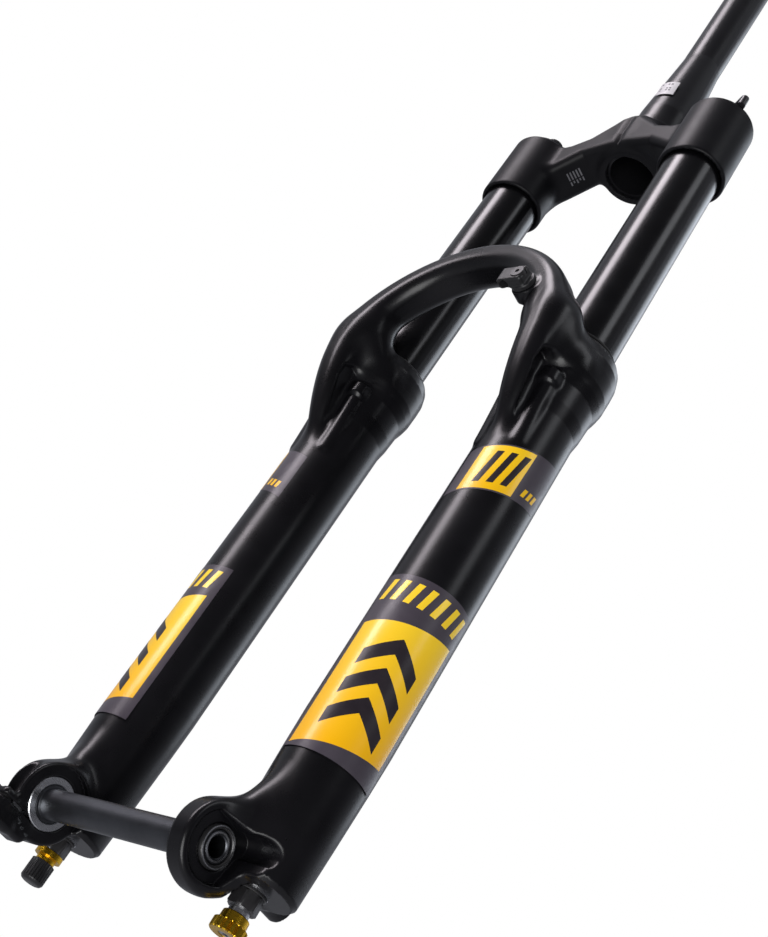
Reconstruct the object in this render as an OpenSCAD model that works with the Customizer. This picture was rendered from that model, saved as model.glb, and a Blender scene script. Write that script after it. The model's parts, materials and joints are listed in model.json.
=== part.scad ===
// Single-crown suspension fork with a one-piece lower casting.
// Origin: centre of the crown race seat. +Z runs up the steerer, -Y is the front of the fork.
// +X is the rider's left, which carries the damper and the brake mount.

/* [Layout] */
// Height of the crown race seat above the wheel axle
axle_to_crown = 594; // [590:0.5:600]
// Wheel travel of the lower assembly
travel = 170; // [150:5:170]
// Distance from the steerer axis forward to the wheel axle
fork_offset = 44; // [42:0.5:46]
// Distance from the steerer axis forward to the stanchion axes
crown_offset = 18; // [17:0.5:19]
// Distance between the two stanchion axes
leg_spacing = 140; // [138:1:144]
// Width of the hub between the dropout faces
hub_width = 110; // [106:1:112]

/* [Tubes] */
// Outer diameter of each stanchion
stanchion_d = 38; // [37.6:0.1:38]
// Wall thickness of each stanchion
stanchion_wall = 2.5; // [2:0.1:2.5]
// Outer diameter of each lower leg
leg_d = 46; // [45:0.5:47]
// Diameter of the wheel axle
axle_d = 15; // [14.8:0.1:15]

/* [Steerer] */
// Outer diameter of the upper steerer
steerer_d = 28.6; // [28.4:0.1:28.8]
// Diameter of the crown race seat
race_seat_d = 39.8; // [39.6:0.1:40]
// Length of the steerer above the race seat
steerer_len = 210; // [160:1:260]

/* [Crown] */
// Outer diameter of each stanchion clamp
clamp_d = 45; // [44.5:0.5:46]
// Height of the stanchion clamps
clamp_h = 55; // [54:0.5:56]
// Drop from the race seat to the top of the clamps
clamp_drop = 22.5; // [22:0.5:23]
// Outer diameter of the steerer boss
boss_d = 52; // [50:0.5:54]

/* [Arch] */
// Radius of the middle of the arch
arch_r = 73; // [71:0.5:74]
// Height of the arch's centre of curvature above the axle
arch_centre = 320; // [318:0.5:322]
// Distance of the middle of the arch in front of the legs
arch_forward = 35; // [34.5:0.5:36]

/* [Brake mount] */
// Distance between the two brake mount holes
brake_spacing = 74.2; // [74.2:0.1:74.2]
// Height of the lower brake mount hole above the axle
brake_low = 5; // [4:0.5:8]
// Distance of the brake mount faces behind the legs
brake_reach = 31; // [30:0.5:32]

/* [Hidden] */
leg_x = leg_spacing / 2;
leg_y = -crown_offset;
axle_y = -fork_offset;
axle_z = -axle_to_crown;
hub_x = hub_width / 2;
stanchion_r = stanchion_d / 2;
stanchion_bore_r = stanchion_r - stanchion_wall;
leg_r = leg_d / 2;
axle_r = axle_d / 2;
steerer_r = steerer_d / 2;
race_seat_r = race_seat_d / 2;
clamp_r = clamp_d / 2;
// Radius of the steerer inside the crown
press_r = race_seat_r - 0.5;
boss_r = boss_d / 2;
clamp_top = -clamp_drop;
clamp_bottom = clamp_top - clamp_h;
// Heights above the axle inside the lower legs
foot_h = -3;
floor_h = 16;
// At full travel the stanchions end this far above the leg's floor
bottom_gap = 14;
stanchion_foot = floor_h + bottom_gap + travel;
low_bush_h = stanchion_foot + 4;
bush_len = 18;
high_bush_h = 290;
foam_h = 311;
wiper_seat_h = 322;
collar_h = 338;
// Radii inside the lower legs
cavity_r = stanchion_r + 0.8;
bush_seat_r = stanchion_r + 1.5;
foam_r = 22.6;
wiper_r = 23.5;
wiper_flange_r = wiper_r + 1.5;
bush_clear = 0.03;
seal_clear = 0.3;
fit = 0.03;
stud_r = 5;
rod_r = 5;
air_rod_r = 6;
cartridge_r = 15;
cartridge_wall = 1.2;
inner_tube_r = 11.5;
inner_tube_bore_r = 10.5;
brake_x = 58.5;
brake_boss_r = 7.5;
// Split collar in the right dropout, and the axle's thicker end inside it
collar_r = 13.2;
axle_end_r = 9.3;
pinch_y = -20;
pinch_h = -16;
lever_angle = -31;
lever_reach = 21.6;
$fn = 72;

// Moves its children from a leg's axis at axle height to the leg on the given side
module at_leg(side) {
    translate([side * leg_x, leg_y, axle_z]) children();
}

// Repeats its children on both legs
module on_both_legs() {
    for (side = [-1, 1]) at_leg(side) children();
}

// Tube from height h0 to h1
module tube(r_out, r_in, h0, h1) {
    translate([0, 0, h0]) difference() {
        cylinder(r = r_out, h = h1 - h0);
        translate([0, 0, -1]) cylinder(r = r_in, h = h1 - h0 + 2);
    }
}

// Disc from height h0 to h1
module disc(r, h0, h1) {
    translate([0, 0, h0]) cylinder(r = r, h = h1 - h0);
}

// Ring of round section
module o_ring(r_mid, r_wire, h) {
    translate([0, 0, h]) rotate_extrude() translate([r_mid, 0]) circle(r = r_wire, $fn = 24);
}

// Hexagonal prism, measured across flats
module hex(across, h0, h1) {
    translate([0, 0, h0]) cylinder(d = across / cos(30), h = h1 - h0, $fn = 6);
}

// Cylinder along X that starts at x0 and ends at x1
module rod_x(r, x0, x1) {
    translate([x0, 0, 0]) rotate([0, 90, 0]) cylinder(r = r, h = x1 - x0);
}

// Cylinder along Y that starts at y0 and ends at y1
module rod_y(r, y0, y1) {
    translate([0, y0, 0]) rotate([-90, 0, 0]) cylinder(r = r, h = y1 - y0);
}

// ---------------------------------------------------------------- uppers

// One arm of the crown, from a clamp to the steerer boss, as an extruded front outline
module crown_arm() {
    front = -28;
    depth = 30;
    outline = [[0, 0], [-8, -1], [-17, -9], [-27, -18], [-40, -22.5], [-56, clamp_top - 0.5],
        [-leg_x, clamp_top - 1], [-leg_x, clamp_bottom + 8], [-50, clamp_bottom + 21],
        [-38, -46], [-26, -36], [0, -32]];
    translate([0, front + depth, 0]) rotate([90, 0, 0]) linear_extrude(depth) polygon(outline);
}

module crown() {
    color("#18181b") difference() {
        union() {
            for (m = [0, 1]) mirror([m, 0, 0]) {
                crown_arm();
                translate([-leg_x, leg_y, clamp_bottom]) cylinder(r = clamp_r, h = clamp_h - 2);
                translate([-leg_x, leg_y, clamp_top - 2]) cylinder(r1 = clamp_r, r2 = clamp_r - 2, h = 2);
            }
            translate([0, 0, -36]) cylinder(r1 = boss_r - 4, r2 = boss_r, h = 14);
            disc(boss_r, -22, -1.5);
            translate([0, 0, -1.5]) cylinder(r1 = boss_r, r2 = boss_r - 1.5, h = 1.5);
        }
        // steerer bore with a lip below it
        disc(press_r + fit, -33, 1);
        disc(17.5, -40, -32);
        // stanchion bores, wider at the mouth, with a lip at the top for the caps
        for (side = [-1, 1]) translate([side * leg_x, leg_y, 0]) {
            disc(stanchion_r + fit, clamp_bottom - 1, clamp_top - 6);
            disc(stanchion_r + 1, clamp_bottom - 1, clamp_bottom + 3);
            disc(17.2, clamp_top - 7, clamp_top + 1);
        }
    }
}

module steerer_tube() {
    taper_low = 26;
    taper_high = 98;
    bore_r = steerer_r - 2.3;
    low_bore_r = 15.8;
    color("#1b1b1e") rotate_extrude() polygon([
        [low_bore_r, -33], [press_r, -33], [press_r, 0],
        [race_seat_r, 0], [race_seat_r, 12], [19.05, 13], [19.05, taper_low],
        [steerer_r, taper_high], [steerer_r, steerer_len - 0.6], [steerer_r - 0.6, steerer_len],
        [bore_r, steerer_len], [bore_r, taper_high], [low_bore_r, taper_low]]);
}

// Stanchion with a threaded-in cap at the top
module stanchion(side) {
    top = axle_to_crown + clamp_top - 6.2;
    at_leg(side) {
        tube(stanchion_r, stanchion_bore_r, stanchion_foot + 1, top);
        translate([0, 0, stanchion_foot]) difference() {
            cylinder(r1 = stanchion_r - 1, r2 = stanchion_r, h = 1);
            translate([0, 0, -1]) cylinder(r = stanchion_bore_r, h = 3);
        }
    }
}

module stanchion_left() {
    color("#0d0d10") stanchion(1);
}

module stanchion_right() {
    color("#0d0d10") stanchion(-1);
}

cap_h = axle_to_crown + clamp_top;

// Top cap shape: thread in the stanchion, neck through the crown lip, and a low head
module top_cap_shape(head_h) {
    disc(stanchion_bore_r - 0.1, cap_h - 22, cap_h - 6);
    disc(17, cap_h - 6, cap_h + 0.5);
    disc(18.5, cap_h + 0.5, cap_h + head_h);
}

module damper_top_cap() {
    color("#222226") at_leg(1) difference() {
        union() {
            top_cap_shape(4);
            disc(9, cap_h + 4, cap_h + 5);
        }
        for (a = [0 : 45 : 315]) rotate(a) translate([18.5, 0, cap_h + 3]) cylinder(r = 2, h = 4);
        disc(4, cap_h - 30, cap_h + 6);
    }
}

module compression_lever() {
    color("#17171a") at_leg(1) difference() {
        union() {
            disc(12.5, cap_h + 5.3, cap_h + 10.3);
            rotate(lever_angle) translate([10, -2.7, cap_h + 5.5]) cube([lever_reach - 10, 5.4, 3.5]);
            rotate(lever_angle) translate([lever_reach, 0, 0]) disc(2.7, cap_h + 0.9, cap_h + 9);
        }
        disc(4.5, cap_h + 5, cap_h + 11);
    }
}

module compression_knob() {
    color("#1c1c20") at_leg(1) difference() {
        union() {
            disc(3.8, cap_h - 4, cap_h + 10.8);
            disc(8.5, cap_h + 10.7, cap_h + 17);
        }
        for (a = [0 : 30 : 330]) rotate(a) translate([9.1, 0, cap_h + 10]) cylinder(r = 1.2, h = 9);
        disc(2.2, cap_h + 14, cap_h + 18);
    }
}

module knob_screw() {
    color("#b9bbbe") at_leg(1) difference() {
        disc(2, cap_h + 14.1, cap_h + 16.6);
        hex(2, cap_h + 15.2, cap_h + 17);
    }
}

module air_top_cap() {
    color("#222226") at_leg(-1) difference() {
        union() {
            top_cap_shape(4);
            hex(24, cap_h + 3.5, cap_h + 9);
        }
        disc(3, cap_h - 30, cap_h + 10);
    }
}

module top_valve_stem() {
    color("#caa13a") at_leg(-1) difference() {
        union() {
            disc(2.95, cap_h - 14, cap_h + 9.1);
            disc(3.85, cap_h + 9.1, cap_h + 17);
        }
        disc(1.6, cap_h - 15, cap_h + 18);
    }
}

module top_valve_cap() {
    color("#141416") at_leg(-1) difference() {
        union() {
            disc(7, cap_h + 9.4, cap_h + 18.5);
            disc(6, cap_h + 18.5, cap_h + 20);
        }
        for (a = [0 : 30 : 330]) rotate(a) translate([7.5, 0, cap_h + 9]) cylinder(r = 0.9, h = 10);
        disc(4, cap_h + 9, cap_h + 17.4);
    }
}

// One O-ring sits in each cap's thread run-out
module top_cap_seals() {
    color("#101010") on_both_legs() tube(stanchion_bore_r - 0.02, stanchion_bore_r - 2, cap_h - 24.4, cap_h - 22.1);
}

cartridge_low = stanchion_foot + 6;
cartridge_high = cap_h - 44;

module damper_cartridge_tube() {
    color("#8a8d92") at_leg(1) tube(cartridge_r, cartridge_r - cartridge_wall, cartridge_low, cap_h - 24.6);
}

module damper_inner_tube() {
    color("#9a9da2") at_leg(1) tube(inner_tube_r, inner_tube_bore_r, cartridge_low + 18.2, cartridge_high - 0.2);
}

module compression_valve() {
    body_r = cartridge_r - cartridge_wall - 0.1;
    color("#c79a2e") at_leg(1) difference() {
        union() {
            disc(body_r, cartridge_high, cartridge_high + 6);
            disc(6, cartridge_high + 6, cartridge_high + 10);
            disc(3.2, cartridge_high + 10, cap_h - 5);
        }
        for (a = [0 : 60 : 300]) rotate(a) translate([8.6, 0, cartridge_high - 1]) cylinder(r = 1.4, h = 8);
    }
}

module damper_seal_head() {
    body_r = cartridge_r - cartridge_wall - 0.1;
    color("#26262a") at_leg(1) difference() {
        union() {
            disc(stanchion_bore_r - 0.1, stanchion_foot + 2, cartridge_low - 0.1);
            disc(body_r, cartridge_low - 0.1, cartridge_low + 18);
        }
        disc(rod_r + 0.05, stanchion_foot, cartridge_low + 19);
    }
}

module air_seal_head() {
    color("#26262a") at_leg(-1) difference() {
        disc(stanchion_bore_r - 0.1, stanchion_foot + 2, stanchion_foot + 20);
        disc(air_rod_r + 0.05, stanchion_foot, stanchion_foot + 21);
    }
}

// Wire circlips that hold the seal heads
module seal_head_rings() {
    color("#8f9296") on_both_legs() difference() {
        tube(stanchion_bore_r - 0.05, stanchion_bore_r - 2, stanchion_foot + 0.5, stanchion_foot + 1.9);
        translate([-2, -20, stanchion_foot]) cube([4, 20, 3]);
    }
}

module travel_ring() {
    color("#141416") at_leg(1) o_ring(stanchion_r + 1.25, 1.1, collar_h + 6.5);
}

// ---------------------------------------------------------------- lowers

// Outer form of one leg with its foot and flared collar, turned about the leg's axis
module leg_body() {
    rotate_extrude() polygon([
        [0, foot_h], [19, foot_h], [20.8, foot_h + 1.8], [21.8, 30], [leg_r, 75], [leg_r, 286],
        [leg_r + 1.4, 296], [leg_r + 1.8, 306], [leg_r + 2.8, 311], [leg_r + 4.2, 324],
        [leg_r + 4.2, 333], [leg_r + 2.8, collar_h], [0, collar_h]]);
}

// Hollow of one leg: foot hole, cavity, bushing seats, foam recess and wiper seat
module leg_bore() {
    // flat seat for the foot nut
    disc(10, foot_h - 30, foot_h);
    disc(stud_r + 0.3, foot_h - 1, floor_h + 1);
    disc(cavity_r, floor_h, wiper_seat_h);
    disc(bush_seat_r, low_bush_h, low_bush_h + bush_len);
    disc(bush_seat_r, high_bush_h, high_bush_h + bush_len);
    disc(foam_r, foam_h, foam_h + 8);
    disc(wiper_r, wiper_seat_h, collar_h + 1);
    // room above the collar for the wiper's flange and the crown clamp
    disc(wiper_flange_r + 0.5, collar_h, collar_h + 50);
}

// Rounded section of the arch, radial by fore-aft, centred on the arch's middle line
module arch_section() {
    half_h = 9.5;
    half_w = 13;
    round_r = 6;
    square([2 * (half_h - round_r), 2 * half_w], center = true);
    square([2 * half_h, 2 * (half_w - round_r)], center = true);
    for (u = [-1, 1], v = [-1, 1])
        translate([u * (half_h - round_r), v * (half_w - round_r)]) circle(r = round_r, $fn = 32);
}

arch_start = 24;

// The arch's ring segment stands in front of the legs
module arch_ring() {
    translate([0, -arch_forward, arch_centre]) rotate([90, 0, 0]) rotate([0, 0, arch_start])
        rotate_extrude(angle = 180 - 2 * arch_start) translate([arch_r, 0]) arch_section();
}

// The arch's foot blends its end into the front of a leg and its collar
module arch_foot() {
    end_x = arch_r * cos(arch_start);
    end_z = arch_centre + arch_r * sin(arch_start);
    hull() {
        translate([end_x, -arch_forward, end_z]) rotate([90, 90 - arch_start, 0])
            translate([0, 0, -12]) cylinder(r = 8.5, h = 24, $fn = 28);
        translate([leg_x - 3, -31, 310]) rotate([90, 0, 0]) cylinder(r = 9, h = 11, $fn = 28);
        translate([leg_x, -2, 322]) cylinder(r = leg_r + 2.8, h = 13, $fn = 32);
        translate([leg_x - 2, -15, 258]) cylinder(r = 6, h = 4, $fn = 24);
    }
}

// Pocket beside the arch foot, and the small stepped rib that stands in it
module arch_pocket() {
    outline = [[leg_x + 3, 277], [leg_x + 14, 306], [leg_x + 2, 322]];
    translate([0, -25.5, 0]) rotate([90, 0, 0]) linear_extrude(20) polygon(outline);
}

// Boss of one dropout with a web up to the leg; x0 is its inner face
module dropout(x0, x1, r) {
    side = sign(x0);
    inner = min(abs(x0), abs(x1));
    outer = max(abs(x0), abs(x1));
    translate([0, axle_y - leg_y, 0]) rod_x(r, min(x0, x1), max(x0, x1));
    hull() {
        translate([0, axle_y - leg_y, 0]) rod_x(r - 3, side > 0 ? inner + 2 : 1 - outer, side > 0 ? outer - 1 : -inner - 2);
        translate([side * leg_x, 0, foot_h + 4]) cylinder(r = 13, h = 40, $fn = 32);
        translate([side * leg_x, -8, 50]) cylinder(r = 8, h = 6, $fn = 24);
    }
}

// Clamp lug around the right dropout's pinch bolt
module pinch_lug() {
    translate([-hub_x - 13, axle_y - leg_y + pinch_y - 6, pinch_h - 8]) cube([13, 16, 17]);
}

// Brake mount bosses behind the left leg
module brake_bosses() {
    for (h = [brake_low, brake_low + brake_spacing]) {
        translate([brake_x, 0, h]) rod_y(brake_boss_r, 8, brake_reach);
        translate([brake_x, 6, h - 4]) cube([12, brake_reach - 12, 8]);
    }
}

hose_x = 54;
hose_h = 352;
hose_front = -arch_forward - 13.5;

module lower_legs() {
    color("#1a1a1d") translate([0, leg_y, axle_z]) difference() {
        union() {
            for (side = [-1, 1]) translate([side * leg_x, 0, 0]) leg_body();
            arch_ring();
            for (m = [0, 1]) mirror([m, 0, 0]) arch_foot();
            dropout(hub_x, hub_x + 12, 20);
            dropout(-hub_x, -hub_x - 13, 20);
            pinch_lug();
            brake_bosses();
            translate([hose_x, 0, hose_h]) rod_y(8, hose_front, hose_front + 8);
        }
        for (m = [0, 1]) mirror([m, 0, 0]) arch_pocket();
        for (side = [-1, 1]) translate([side * leg_x, 0, 0]) leg_bore();
        // axle bores: threaded side, and the split collar's seat
        translate([0, axle_y - leg_y, 0]) {
            rod_x(axle_r + 0.05, hub_x - 1, hub_x + 20);
            rod_x(10, hub_x + 9, hub_x + 30);
            rod_x(collar_r + fit, -hub_x - 20, -hub_x + 1);
            rod_x(axle_end_r + 0.5, -hub_x - 45, -hub_x - 10);
        }
        // saw cut of the pinch clamp and its bolt hole
        translate([-hub_x - 15, axle_y - leg_y - 45, pinch_h / 2 - 4]) cube([16, 40, 1.6]);
        translate([-hub_x - 6.5, axle_y - leg_y + pinch_y, pinch_h - 12]) cylinder(r = 2.6, h = 26);
        translate([-hub_x - 6.5, axle_y - leg_y + pinch_y, pinch_h + 3]) cylinder(r = 4.6, h = 20);
        for (h = [brake_low, brake_low + brake_spacing])
            translate([brake_x, 0, h]) rod_y(2.5, brake_reach - 14, brake_reach + 1);
        translate([hose_x, 0, hose_h]) rod_y(2.1, hose_front - 1, hose_front + 8);
    }
}

module upper_bushings() {
    color("#6d6f73") on_both_legs()
        tube(bush_seat_r - fit, stanchion_r + bush_clear, high_bush_h, high_bush_h + bush_len);
}

module lower_bushings() {
    color("#6d6f73") on_both_legs()
        tube(bush_seat_r - fit, stanchion_r + bush_clear, low_bush_h, low_bush_h + bush_len);
}

module foam_rings() {
    color("#3a3a34") on_both_legs() tube(foam_r - 0.1, stanchion_r + seal_clear, foam_h + 0.3, foam_h + 7.7);
}

module dust_wipers() {
    color("#0f0f10") on_both_legs() {
        tube(wiper_r - fit, stanchion_r + 1.5, wiper_seat_h + 0.2, collar_h);
        tube(wiper_flange_r, stanchion_r + seal_clear, collar_h, collar_h + 2.2);
        tube(stanchion_r + 1.6, stanchion_r + seal_clear, collar_h + 2.2, collar_h + 5);
    }
}

module wiper_springs() {
    color("#55575b") on_both_legs() o_ring(stanchion_r + 2.3, 0.6, collar_h + 3.3);
}

module damper_rod() {
    color("#c9cbcf") at_leg(1) tube(rod_r, 2, floor_h + 3, stanchion_foot + 44);
}

piston_h = stanchion_foot + 30;

module damper_piston() {
    color("#caa13a") at_leg(1) difference() {
        disc(inner_tube_bore_r - 0.3, piston_h, piston_h + 8);
        disc(rod_r + fit, piston_h - 1, piston_h + 9);
        for (a = [0 : 60 : 300]) rotate(a) translate([7.6, 0, piston_h - 1]) cylinder(r = 1, h = 10);
    }
}

module piston_nut() {
    color("#9a9da2") at_leg(1) difference() {
        hex(14, piston_h + 8.2, piston_h + 12.5);
        disc(rod_r + fit, piston_h, piston_h + 15);
    }
}

module top_out_bumper() {
    color("#2a2a2a") at_leg(1) tube(8.5, rod_r + fit, piston_h - 4.2, piston_h - 0.2);
}

module rebound_needle() {
    color("#b9bbbe") at_leg(1) {
        disc(1.7, -16, stanchion_foot + 40);
        translate([0, 0, stanchion_foot + 40]) cylinder(r1 = 1.7, r2 = 0.4, h = 3);
    }
}

module air_rod() {
    color("#c9cbcf") at_leg(-1) tube(air_rod_r, 4, floor_h + 3, piston_h + 4);
}

module air_piston() {
    color("#2b2b30") at_leg(-1) difference() {
        union() {
            disc(stanchion_bore_r - 0.3, piston_h, piston_h + 5);
            disc(stanchion_bore_r - 3, piston_h + 5, piston_h + 9);
            disc(stanchion_bore_r - 0.3, piston_h + 9, piston_h + 14);
        }
        disc(air_rod_r + fit, piston_h - 1, piston_h + 4.2);
        disc(3, piston_h + 4, piston_h + 15);
    }
}

module air_piston_seal() {
    color("#141416") at_leg(-1) tube(stanchion_bore_r - 0.15, stanchion_bore_r - 2.95, piston_h + 5.1, piston_h + 8.9);
}

module bottom_out_bumper() {
    color("#3a3a3a") at_leg(-1) tube(11, air_rod_r + 0.1, floor_h + 3.2, floor_h + 12.5);
}

// Hexagonal foot nuts that clamp the rods to the casting
module foot_nuts() {
    color("#1a1a1c") on_both_legs() difference() {
        union() {
            hex(13, -13, -5.4);
            disc(7.6, -5.4, -4.2);
        }
        disc(stud_r + fit, -14, -4);
    }
}

module crush_washers() {
    color("#b8babd") on_both_legs() tube(8.2, stud_r + 0.2, -4.1, foot_h - fit);
}

// Hollow threaded stud from the damper rod down to the rebound knob
module rebound_stud() {
    color("#c4c6c9") at_leg(1) difference() {
        union() {
            disc(stud_r, -15.6, floor_h + 1);
            disc(8, floor_h, floor_h + 2.9);
        }
        disc(2, -17, floor_h + 4);
    }
}

module rebound_knob() {
    color("#d9a400") at_leg(1) difference() {
        union() {
            disc(6.6, -20.4, -16);
            disc(8.2, -25.5, -20.4);
        }
        for (a = [0 : 45 : 315]) rotate(a) translate([9.4, 0, -26]) cylinder(r = 2.1, h = 5.4);
        disc(3.6, -26, -23);
        disc(1.75, -24, -15);
    }
}

module rebound_knob_screw() {
    color("#aaacaf") at_leg(1) difference() {
        disc(3.5, -25.2, -23.1);
        hex(2.5, -26, -24);
    }
}

module ramp_valve_body() {
    color("#c98f1e") at_leg(-1) difference() {
        union() {
            disc(8, floor_h, floor_h + 2.9);
            disc(stud_r, -13.2, floor_h + 1);
            disc(7.2, -16, -13.2);
            disc(5, -18.5, -16);
            disc(3.85, -26, -18.5);
        }
        disc(1.6, -27, floor_h + 4);
    }
}

module ramp_valve_cap() {
    color("#131315") at_leg(-1) difference() {
        union() {
            disc(6.2, -28.5, -19);
            disc(5.2, -30, -28.5);
        }
        for (a = [0 : 30 : 330]) rotate(a) translate([6.7, 0, -29]) cylinder(r = 0.9, h = 11);
        disc(4, -27, -18);
    }
}

// Hollow floating axle: head in the right dropout's collar, thread in the left dropout
module axle() {
    color("#3c3e42") translate([0, axle_y, axle_z]) difference() {
        union() {
            rod_x(axle_r, -hub_x - 1, hub_x + 11);
            rod_x(axle_end_r, -hub_x - 16, -hub_x);
        }
        rod_x(4.8, -hub_x - 20, hub_x + 20);
    }
}

// Split collar that the pinch bolt closes around the axle
module axle_collar() {
    color("#c8cacd") translate([0, axle_y, axle_z]) difference() {
        rod_x(collar_r, -hub_x - 13, -hub_x);
        rod_x(axle_end_r + 0.06, -hub_x - 14, -hub_x + 2);
        translate([-hub_x - 14, -collar_r - 1, -6]) cube([16, 7, 1.2]);
    }
}

module pinch_bolt() {
    color("#1f1f22") translate([-hub_x - 6.5, axle_y + pinch_y, axle_z + pinch_h]) difference() {
        union() {
            disc(2.5, -8, 3.1);
            disc(4.2, 3.1, 7.6);
        }
        hex(4, 4.6, 9);
    }
}

module hose_guide() {
    color("#17171a") translate([hose_x, leg_y + hose_front, axle_z + hose_h]) difference() {
        union() {
            rod_y(7.2, -3, -0.1);
            translate([-13, -9, -6]) cube([17, 7, 12]);
        }
        rod_y(2.2, -20, 2);
        rod_y(4.3, -20, -5.4);
        translate([-8.5, -5.3, -10]) cylinder(r = 2.7, h = 20);
    }
}

module hose_guide_screw() {
    color("#b9bbbe") translate([hose_x, leg_y + hose_front, axle_z + hose_h]) difference() {
        union() {
            rod_y(2, -5.4, 7);
            rod_y(4, -9.5, -5.4);
        }
        translate([0, -10.5, 0]) rotate([-90, 0, 0]) cylinder(d = 3, h = 3, $fn = 6);
    }
}

crown();
steerer_tube();
stanchion_left();
stanchion_right();
damper_top_cap();
compression_lever();
compression_knob();
knob_screw();
air_top_cap();
top_valve_stem();
top_valve_cap();
top_cap_seals();
damper_cartridge_tube();
damper_inner_tube();
compression_valve();
damper_seal_head();
air_seal_head();
seal_head_rings();
travel_ring();
lower_legs();
upper_bushings();
lower_bushings();
foam_rings();
dust_wipers();
wiper_springs();
damper_rod();
damper_piston();
piston_nut();
top_out_bumper();
rebound_needle();
air_rod();
air_piston();
air_piston_seal();
bottom_out_bumper();
foot_nuts();
crush_washers();
rebound_stud();
rebound_knob();
rebound_knob_screw();
ramp_valve_body();
ramp_valve_cap();
axle();
axle_collar();
pinch_bolt();
hose_guide();
hose_guide_screw();
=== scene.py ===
import json
import math

import bmesh
import bpy
import numpy as np
from mathutils import Matrix, Vector


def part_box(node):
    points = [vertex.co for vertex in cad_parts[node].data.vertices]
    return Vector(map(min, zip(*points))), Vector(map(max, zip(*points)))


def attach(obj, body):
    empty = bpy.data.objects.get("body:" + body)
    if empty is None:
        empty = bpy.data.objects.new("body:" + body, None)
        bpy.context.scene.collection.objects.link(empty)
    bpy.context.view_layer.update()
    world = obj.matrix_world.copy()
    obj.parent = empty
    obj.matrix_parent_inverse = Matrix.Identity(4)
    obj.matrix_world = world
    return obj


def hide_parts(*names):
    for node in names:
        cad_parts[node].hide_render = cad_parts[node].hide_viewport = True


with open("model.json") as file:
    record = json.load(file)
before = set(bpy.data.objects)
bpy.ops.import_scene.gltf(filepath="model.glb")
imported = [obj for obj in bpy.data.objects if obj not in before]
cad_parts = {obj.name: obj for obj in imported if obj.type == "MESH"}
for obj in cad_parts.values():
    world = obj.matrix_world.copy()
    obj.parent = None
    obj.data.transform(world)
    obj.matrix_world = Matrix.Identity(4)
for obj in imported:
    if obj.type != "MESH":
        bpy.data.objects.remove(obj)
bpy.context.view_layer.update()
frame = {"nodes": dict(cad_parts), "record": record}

MM = 0.001

# ------------------------------------------------------------ reference places, in millimetres


def box_mm(node):
    low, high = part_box(node)
    return np.array(low) / MM, np.array(high) / MM


STAN_LOW, STAN_HIGH = box_mm("stanchion_left")
LEG_X = (STAN_LOW[0] + STAN_HIGH[0]) / 2
LEG_Y = (STAN_LOW[1] + STAN_HIGH[1]) / 2
STAN_R = (STAN_HIGH[0] - STAN_LOW[0]) / 2
AXLE_LOW, AXLE_HIGH = box_mm("axle")
AXLE_Y = (AXLE_LOW[1] + AXLE_HIGH[1]) / 2
AXLE_Z = (AXLE_LOW[2] + AXLE_HIGH[2]) / 2
AXLE_BACK = AXLE_Y - LEG_Y
HUB_X = 55.0
LEG_R = 23.0
COLLAR_H = 338.0
FLOOR_H = 16.0
FOOT_H = -3.0
WIPER_R = 23.5
CLAMP_BOTTOM = box_mm("crown")[0][2]
CLAMP_HEIGHT = 55.0
CLAMP_TOP = CLAMP_BOTTOM + CLAMP_HEIGHT
CLAMP_R = 22.5
BRAKE_HEIGHTS = (5.0, 79.2)
BRAKE_X = 58.5
BRAKE_FRONT_Y = 8
BRAKE_FACE_Y = 31
BRAKE_BORE_R = 2.5
PINCH_X = -61.5
PINCH_Y = -46
PINCH_THREAD_R = 2.6
PINCH_HEAD_R = 4.6
GUIDE_X = 54
GUIDE_Y = -48.5
GUIDE_H = 352
SIDES = ((1, "left"), (-1, "right"))

# ------------------------------------------------------------ distance fields


FAR = 1e9


def length2(a, b):
    return np.sqrt(a * a + b * b)


def length3(a, b, c):
    return np.sqrt(a * a + b * b + c * c)


def smooth_join(a, b, k):
    """Union of a and b, with a fillet of about k."""
    h = np.clip(0.5 + 0.5 * (b - a) / k, 0, 1)
    return b + (a - b) * h - k * h * (1 - h)


def smooth_cut(a, b, k):
    """Takes b out of a."""
    return -smooth_join(-a, b, k)


def plate(d, w, half, edge):
    """Extrudes the flat distance d along w, with its rims rounded by edge."""
    u = d + edge
    v = np.abs(w) - half + edge
    return np.minimum(np.maximum(u, v), 0) + length2(np.maximum(u, 0), np.maximum(v, 0)) - edge


def rod(x, y, z, start, end, radius, edge):
    """Straight round bar from start to end, with its rims rounded by edge."""
    axis = np.array(end, float) - np.array(start, float)
    size = np.linalg.norm(axis)
    axis /= size
    px = x - (start[0] + end[0]) / 2
    py = y - (start[1] + end[1]) / 2
    pz = z - (start[2] + end[2]) / 2
    along = px * axis[0] + py * axis[1] + pz * axis[2]
    square = np.maximum(px * px + py * py + pz * pz - along * along, 0)
    return plate(np.sqrt(square) - radius, along, size / 2, edge)


def cone(x, y, z, start, end, r0, r1):
    """Round-ended bar whose radius goes from r0 to r1."""
    ax, ay, az = (end[i] - start[i] for i in range(3))
    px, py, pz = x - start[0], y - start[1], z - start[2]
    t = np.clip((px * ax + py * ay + pz * az) / (ax * ax + ay * ay + az * az), 0, 1)
    return length3(px - t * ax, py - t * ay, pz - t * az) - (r0 + (r1 - r0) * t)


def block(x, y, z, centre, half, edge):
    """Box of half sizes half about centre, with its edges rounded."""
    px = np.abs(x - centre[0]) - half[0] + edge
    py = np.abs(y - centre[1]) - half[1] + edge
    pz = np.abs(z - centre[2]) - half[2] + edge
    inside = np.minimum(np.maximum(px, np.maximum(py, pz)), 0)
    return inside + length3(np.maximum(px, 0), np.maximum(py, 0), np.maximum(pz, 0)) - edge


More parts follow.
